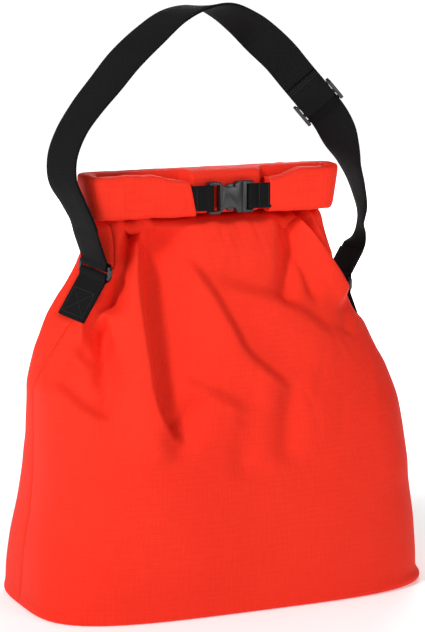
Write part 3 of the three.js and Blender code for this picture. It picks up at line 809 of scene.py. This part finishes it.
def capped_tube(name, points, girth, v, material):
    """A closed tube: wrapped columns with domed caps at both ends."""
    rows, cols = points.shape[:2]
    u = np.linspace(0, girth, cols + 1)
    faces, uv = (part.tolist() for part in grid_quads(points, u, v, True))
    verts = points.reshape(-1, 3).tolist()
    for row, neighbour in ((0, 1), (rows - 1, rows - 2)):
        previous = list(range(row * cols, (row + 1) * cols))
        centre = points[row].mean(axis=0)
        inward = unit(centre - points[neighbour].mean(axis=0))
        near, far = v[row], v[row] + 0.002
        for scale in CAP_RINGS:
            bulge = inward * CAP_BULGE * (1 - scale)
            current = list(range(len(verts), len(verts) + cols))
            verts += (centre + (points[row] - centre) * scale + bulge).tolist()
            for c in range(cols):
                n = (c + 1) % cols
                quad = [previous[c], previous[n], current[n], current[c]]
                faces.append(quad if row else quad[::-1])
                uv.append([[u[c], near], [u[c + 1], near], [u[c + 1], far], [u[c], far]])
            previous = current
        verts.append((centre + inward * CAP_BULGE).tolist())
        for c in range(cols):
            tri = [previous[c], previous[(c + 1) % cols], len(verts) - 1]
            faces.append(tri if row else tri[::-1])
            uv.append([[u[c], near], [u[c + 1], near], [u[c], far]])
    obj = mesh_object(name, verts, faces, material, uv)
    outward_normals(obj)
    return obj


build_roll()


# ---------------- webbing
THREAD_RADIUS = 0.32 * MM
STITCH_HUMP, STITCH_TAPER = (-0.5, 0.55, 0.55, -0.5), (0.7, 1.0, 1.0, 0.7)  # by ring, in radii
STITCH_SIDES = 6


def ribbon_frame(route, fronts):
    """Directions across a ribbon, towards its front edge, and towards the route's inner side."""
    along = unit(np.gradient(route, axis=0))
    across = unit(fronts - along * np.sum(fronts * along, axis=1, keepdims=True))
    return across, np.cross(along, across)


def webbing_ribbon(name, route, fronts, width=STRAP_WIDTH):
    """A closed ribbon with rounded edges along a route."""
    across, inward = ribbon_frame(route, fronts)
    side = width / 2 - WEB_THICK / 2
    edge = side + WEB_THICK * 0.42
    flat = [side * k for k in (-1, -0.5, 0, 0.5, 1)]
    profile = [(w, -1) for w in flat] + [(edge, -0.55), (edge, 0.55)]
    profile += [(w, 1) for w in flat[::-1]] + [(-edge, 0.55), (-edge, -0.55)]
    points = np.stack(
        [route + across * w + inward * (n * WEB_THICK / 2) for w, n in profile], axis=1
    )
    u = np.array([w if n < 0 else -w + 2.2 * width for w, n in profile])
    v = arc_length(route)
    rows, cols = points.shape[:2]
    faces, uv = (part.tolist() for part in grid_quads(points, np.append(u, u[0]), v, True))
    for row in (0, rows - 1):
        faces.append(list(range(row * cols, (row + 1) * cols)))
        uv.append([[u[c], v[row]] for c in range(cols)])
    ribbon = mesh_object(name, points.reshape(-1, 3), faces, WEBBING, uv)
    outward_normals(ribbon)
    return ribbon


def thread_line(name, ends, normal, body, pitch=2.6 * MM):
    """A row of stitches on a surface: short humped lengths of thread from one end to the other."""
    ends, normal = np.asarray(ends, float), np.asarray(normal, float)
    rings = len(STITCH_HUMP)
    count = max(2, int(round(arc_length(ends)[-1] / pitch)))
    line = respace(ends, count * rings + 1)
    lift = np.array(STITCH_HUMP) * THREAD_RADIUS
    quads, _ = grid_faces(rings, STITCH_SIDES, True)
    verts, faces = [], []
    for k in range(count):
        centre = line[rings * k: rings * (k + 1)] + normal * lift[:, None]
        along = unit(np.gradient(centre, axis=0))
        side = unit(np.cross(along, normal))
        up = np.cross(side, along)
        start = len(verts)
        for j, taper in enumerate(STITCH_TAPER):
            for q in range(STITCH_SIDES):
                a = 2 * pi * q / STITCH_SIDES
                offset = side[j] * cos(a) + up[j] * sin(a)
                verts.append(centre[j] + offset * (THREAD_RADIUS * taper))
        faces += (quads + start).tolist()
        faces.append([start + q for q in reversed(range(STITCH_SIDES))])
        faces.append([start + (rings - 1) * STITCH_SIDES + q for q in range(STITCH_SIDES)])
    thread = mesh_object(name, verts, faces, THREAD)
    outward_normals(thread)
    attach(thread, body)


# ---------------- the shoulder strap
LAYER_PITCH = 1.75 * MM
STRAP_STEPS, ROUTE_STEPS = 1150, 640
FRONT_WEIGHT = 0.02  # metres that stand for a front direction while it is smoothed with the route
WRAP = 0.62  # radians that a turn goes past half a circle at both ends
SLIDER_AT = np.array([121, 10, 485]) * MM
SLIDER_DOWN = unit(np.array([0.68, 0.05, -0.73]))
SLIDER_FRONT = np.array([0.72, -0.25, 0.65])
# Places in mm along the strap's outer layer, with the direction of its front edge
LEFT_STATIONS = [
    ((-159, -28, 402), (0.34, -0.93, -0.12)),
    ((-168, -24, 424), (0.4, -0.9, 0)),
    ((-167, -22, 446), (0.43, -0.9, 0)),
    ((-157, -20, 469), (0.47, -0.88, 0)),
    ((-140, -17, 491), (0.5, -0.84, -0.1)),
    ((-119, -14, 513), (0.5, -0.8, -0.2)),
    ((-98, -11, 535), (0.48, -0.8, -0.28)),
    ((-71, -7, 557), (0.42, -0.85, -0.3)),
    ((-42, -2, 576), (0.28, -0.94, -0.2)),
    ((-12, 1, 584), (0.12, -0.98, 0.02)),
    ((13, 3, 580), (0.25, -0.9, 0.35)),
    ((36, 5, 567), (0.45, -0.72, 0.5)),
    ((57, 6, 550), (0.62, -0.42, 0.62)),
]
RIGHT_STATIONS = [
    ((143, 12, 457), (0.85, -0.45, 0.3)),
    ((151, 14, 440), (0.55, -0.8, 0.2)),
    ((160, 18, 422), (0.2, -0.97, 0.05)),
    ((171, 23, 401), (0, -1, 0)),
    ((179, 27, 378), (-0.14, -0.99, 0)),
    ((181, 30, 358), (-0.3, -0.95, 0)),
]


def catmull_pair(at, front, steps):
    """Evenly spaced points on a smooth curve through the places, with smoothly turning fronts."""
    line = centripetal(np.hstack([at, front * FRONT_WEIGHT]))
    along = arc_length(line[:, :3])
    want = np.linspace(0, along[-1], steps)
    line = np.stack([np.interp(want, along, line[:, k]) for k in range(6)], axis=1)
    return line[:, :3], line[:, 3:] / FRONT_WEIGHT


def centripetal(p):
    """A Catmull-Rom curve that cannot loop where its points are close together."""
    p = np.vstack([2 * p[0] - p[1], p, 2 * p[-1] - p[-2]])
    dense = []
    for i in range(1, len(p) - 2):
        a, b, c, d = p[i - 1], p[i], p[i + 1], p[i + 2]
        knots = [0.0]
        for m, n in ((a, b), (b, c), (c, d)):
            knots.append(knots[-1] + max(np.linalg.norm(n[:3] - m[:3]), 1e-6) ** 0.5)
        t0, t1, t2, t3 = knots
        t = np.linspace(t1, t2, 20, endpoint=False)[:, None]
        a1 = (t1 - t) / (t1 - t0) * a + (t - t0) / (t1 - t0) * b
        a2 = (t2 - t) / (t2 - t1) * b + (t - t1) / (t2 - t1) * c
        a3 = (t3 - t) / (t3 - t2) * c + (t - t2) / (t3 - t2) * d
        b1 = (t2 - t) / (t2 - t0) * a1 + (t - t0) / (t2 - t0) * a2
        b2 = (t3 - t) / (t3 - t1) * a2 + (t - t1) / (t3 - t1) * a3
        dense.append((t2 - t) / (t2 - t1) * b1 + (t - t1) / (t2 - t1) * b2)
    return np.vstack(dense + [p[-2:-1]])


def turned(vector, axis, degrees):
    """A vector at right angles to an axis, turned about it."""
    angle = radians(degrees)
    return vector * cos(angle) + np.cross(axis, vector) * sin(angle)


def end_stations(side):
    """Where the strap leaves a ring: straight on from its eye, then turned about its own run."""
    eye, run, front = strap_end(side)
    twisted = turned(front, run, ANCHORS[side]["twist"])
    return [(eye + run * (LOOP_LENGTH + 1.2 * MM), front), (eye + run * (LOOP_LENGTH + 14 * MM), twisted)]


def strap_route():
    """The strap's outer layer from the left loop's top to the right one's, with its front directions."""
    stations = end_stations("left")
    stations += [(np.array(p) * MM, np.array(f)) for p, f in LEFT_STATIONS]
    stations += [(SLIDER_AT - SLIDER_DOWN * d, SLIDER_FRONT) for d in (66 * MM, 40 * MM, 10 * MM)]
    stations += [(SLIDER_AT + SLIDER_DOWN * 17 * MM, SLIDER_FRONT)]
    stations += [(np.array(p) * MM, np.array(f)) for p, f in RIGHT_STATIONS]
    stations += end_stations("right")[::-1]
    at, front = (np.array(part) for part in zip(*stations))
    return catmull_pair(at, front, ROUTE_STEPS)


def ring_turn(side, inner_length):
    """The strap's way from its outer run, round a ring's bar and back up on the inside."""
    eye, run, front = strap_end(side)
    inward = np.cross(run, front) * ANCHORS[side]["front"]
    start = TURN_RADIUS * 1.5
    down = np.linspace(LOOP_LENGTH - 6 * MM, start, 16)
    points = [eye + run * d - inward * HALF_PITCH for d in down]
    for a in np.linspace(-WRAP, pi + WRAP, 26):
        points.append(eye - (run * sin(a) + inward * cos(a)) * TURN_RADIUS)
    points += [eye + run * d + inward * HALF_PITCH for d in np.linspace(start, inner_length, 16)]
    return np.array(points), np.broadcast_to(front, (len(points), 3))


route, fronts = strap_route()
apex = int(np.argmax(route[:, 2]))
sewn_at = int(np.argmin(np.linalg.norm(route - (SLIDER_AT - SLIDER_DOWN * 31 * MM), axis=1)))


def inner_line(first, last):
    """The strap's inner layer along part of the route."""
    _, inward = ribbon_frame(route, fronts)
    return (route + inward * LAYER_PITCH)[first:last], fronts[first:last]


def build_strap():
    """One length of webbing: sewn end at the right ring, over the top, round the left ring and back."""
    left_turn, left_front = ring_turn("left", LOOP_LENGTH)
    right_turn, right_front = ring_turn("right", LOOP_LENGTH - 4 * MM)
    inner, inner_front = inner_line(6, apex + 1)
    line = np.vstack([right_turn[::-1], route[2:-2][::-1], left_turn, inner])
    front = np.vstack([right_front, fronts[2:-2][::-1], left_front, inner_front])
    strap = webbing_ribbon("strap_webbing", *catmull_pair(line, front, STRAP_STEPS))
    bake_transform(strap)
    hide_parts("strap_outer_layer", "strap_loop_left", "strap_loop_right")
    inner = webbing_ribbon("strap_inner_webbing", *inner_line(apex, sewn_at))
    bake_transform(inner)
    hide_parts("strap_inner_layer")


build_strap()


# ---------------- moulded plastic
BEVEL, FINE_BEVEL = 0.5 * MM, 0.35 * MM


def plastic_copy(name, node, body, bevel=BEVEL):
    """The CAD node's shape with flat faces merged and every hard edge rounded."""
    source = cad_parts[node]
    obj = scene_object(name, source.data.copy())
    obj.matrix_world = source.matrix_world
    bm = bmesh.new()
    bm.from_mesh(obj.data)
    bmesh.ops.remove_doubles(bm, verts=bm.verts, dist=1e-6)
    bmesh.ops.dissolve_limit(bm, angle_limit=radians(2), verts=bm.verts, edges=bm.edges)
    bm.to_mesh(obj.data)
    bm.free()
    corner = radians(25)
    apply_modifier(obj, "BEVEL", width=bevel, segments=3, limit_method="ANGLE", angle_limit=corner)
    obj.data.materials.clear()
    obj.data.materials.append(PLASTIC)
    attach(obj, body)
    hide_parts(node)


for piece in (
    ("slider_moulding", "strap_slider", "slider"),
    ("ring_moulding_left", "side_ring_left", "bag"),
    ("ring_moulding_right", "side_ring_right", "bag"),
    ("female_buckle_moulding", "buckle_female", "roll"),
    ("male_buckle_moulding", "buckle_male", "right_flap"),
    ("upper_prong_moulding", "buckle_prong_upper", "upper_prong", FINE_BEVEL),
    ("lower_prong_moulding", "buckle_prong_lower", "lower_prong", FINE_BEVEL),
):
    plastic_copy(*piece)


# ---------------- tabs, sewn fold and closure
FINE_PITCH = 2.2 * MM  # of the stitches that hold a fold or an end
CLOSURE_WIDTH = 25 * MM


def loop_webbing(name, node, body, eye, direction, across, length, width):
    """Webbing that runs to a bar, turns round it and comes back to where it is sewn."""
    side = np.cross(across, direction)
    lean = asin(HALF_PITCH / TURN_RADIUS)
    run = np.linspace(length, TURN_RADIUS * 1.4, 14)
    points = [eye + direction * d + side * HALF_PITCH for d in run]
    for a in np.linspace(pi / 2 - lean - 0.35, -1.5 * pi + lean + 0.35, 30):
        points.append(eye + (direction * sin(a) + side * cos(a)) * TURN_RADIUS)
    points += [eye + direction * d - side * HALF_PITCH for d in run[::-1]]
    line = respace(np.array(points), 90)
    ribbon = webbing_ribbon(name, line, np.broadcast_to(across, line.shape), width)
    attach(ribbon, body)
    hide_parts(node)


def box_stitch(name, corner, along, across, normal, body):
    """A sewn rectangle with its two diagonals, from a corner and its two sides."""
    a, b, c, d = corner, corner + along, corner + along + across, corner + across
    for k, ends in enumerate(((a, b), (b, c), (c, d), (d, a), (a, c), (b, d))):
        thread_line(f"{name}_{k}", ends, normal, body)


def add_anchor(side):
    """A side tab, sewn down with a box of stitches."""
    eye, down, bar, face = tab_place(side)
    name, node = f"side_tab_webbing_{side}", f"side_tab_{side}"
    loop_webbing(name, node, "bag", eye, down, bar, TAB_LENGTH, STRAP_WIDTH)
    surface = HALF_PITCH + WEB_THICK / 2
    corner = eye + down * 19 * MM - bar * 15 * MM + face * surface
    box_stitch(f"tab_stitch_{side}", corner, down * 26 * MM, bar * 30 * MM, face, "bag")


def add_sewn_fold():
    """The inner layer's end, folded round the slider's middle bar and sewn to itself."""
    across = unit(SLIDER_FRONT - SLIDER_DOWN * (SLIDER_FRONT @ SLIDER_DOWN))
    inward = np.cross(SLIDER_DOWN, across)
    low, high = 1.6 * MM, 6.25 * MM
    turn_at, turn_reach = 1.3 * MM, 0.55
    middle, radius = (low + high) / 2, (high - low) / 2
    under = [(-31 * MM, low), (-20 * MM, low), (-8 * MM, low)]
    turn = [
        (turn_at + radius * turn_reach * cos(a), middle + radius * sin(a))
        for a in np.linspace(-pi / 2, pi / 2, 14)
    ]
    over = [(-6 * MM, high), (-12 * MM, high), (-17 * MM, high - 0.4 * MM)]
    over += [(-23 * MM, 4.4 * MM), (-27 * MM, 3.3 * MM), (-31 * MM, 3.0 * MM)]
    line = catmull([SLIDER_AT + SLIDER_DOWN * d + inward * h for d, h in under + turn + over], 110)
    fold_over = webbing_ribbon("strap_fold_webbing", line, np.broadcast_to(across, line.shape))
    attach(fold_over, "slider")
    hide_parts("strap_sewn_fold")
    for k, (d, h) in enumerate(((-28.5, 3.05), (-26, 3.3))):
        at = SLIDER_AT + SLIDER_DOWN * d * MM + inward * (h + 0.65 + 0.12) * MM
        ends = [at - across * 17 * MM, at + across * 17 * MM]
        thread_line(f"fold_stitch_{k}", ends, inward, "slider", pitch=FINE_PITCH)


def add_closure(side, node, body, sign, stitches):
    """Webbing from a half of the buckle to its end of the roll, with rows of stitches across it."""
    low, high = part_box(node)
    outer = (high.y - low.y) / 2
    bar_x, end_x = (high.x - outer, low.x) if sign < 0 else (low.x + outer, high.x)
    eye = np.array([bar_x, (low.y + high.y) / 2, (low.z + high.z) / 2])
    direction, across = np.array([sign, 0, 0], float), np.array([0, 0, sign], float)
    length = abs(end_x - bar_x) + 1.5 * MM
    loop_webbing(f"closure_webbing_cloth_{side}", node, body, eye, direction, across, length, CLOSURE_WIDTH)
    face_y = eye[1] - HALF_PITCH - WEB_THICK / 2 - 0.05 * MM
    for k, d in enumerate(stitches):
        x = bar_x + sign * d * MM
        ends = [(x, face_y, low.z + 1.2 * MM), (x, face_y, high.z - 1.2 * MM)]
        thread_line(f"closure_stitch_{side}_{k}", ends, (0, -1, 0), body, pitch=FINE_PITCH)


for side in ANCHORS:
    add_anchor(side)
add_sewn_fold()
add_closure("left", "closure_webbing_left", "roll", -1, (14,))
add_closure("right", "closure_webbing_right", "right_flap", 1, (9, 19))


# ---------------- base and hidden pieces
BASE_TOP, BASE_THICK = 1.2 * MM, 0.9 * MM
BASE_RINGS, BASE_COLS = 14, 160


def add_base():
    """The cloth under the bag, as rings that shrink to its middle."""
    a = circle(BASE_COLS)
    x, y, _ = section(LEVELS[0][1:6] * (MM, MM, MM, MM, 1), a)
    scale = 1 - np.arange(BASE_RINGS) / BASE_RINGS
    rings = scale[:, None, None] * np.stack([x, y, 0 * a], axis=-1)
    verts = np.vstack([rings.reshape(-1, 3), [0, 0, 0]]) + (0, 0, BASE_TOP)
    quads, _ = grid_faces(BASE_RINGS, BASE_COLS, True)
    faces = quads[:, [0, 3, 2, 1]].tolist()
    middle, rim = len(verts) - 1, len(verts) - 1 - BASE_COLS
    faces += [(rim + i, middle, rim + (i + 1) % BASE_COLS) for i in range(BASE_COLS)]
    uv = [[verts[i][:2] + 0.3 for i in f] for f in faces]
    base = mesh_object("base_cloth", verts, faces, RED, uv)
    apply_modifier(base, "SOLIDIFY", thickness=-BASE_THICK)
    outward_normals(base)
    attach(base, "bag")
    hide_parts("base_panel")


add_base()
HIDDEN = {"base_stiffener_board": BOARD, "base_seam_binding": BINDING, "mouth_stiffener": BOARD}
for node, material in HIDDEN.items():
    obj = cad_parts[node]
    obj.data.materials.clear()
    obj.data.materials.append(material)
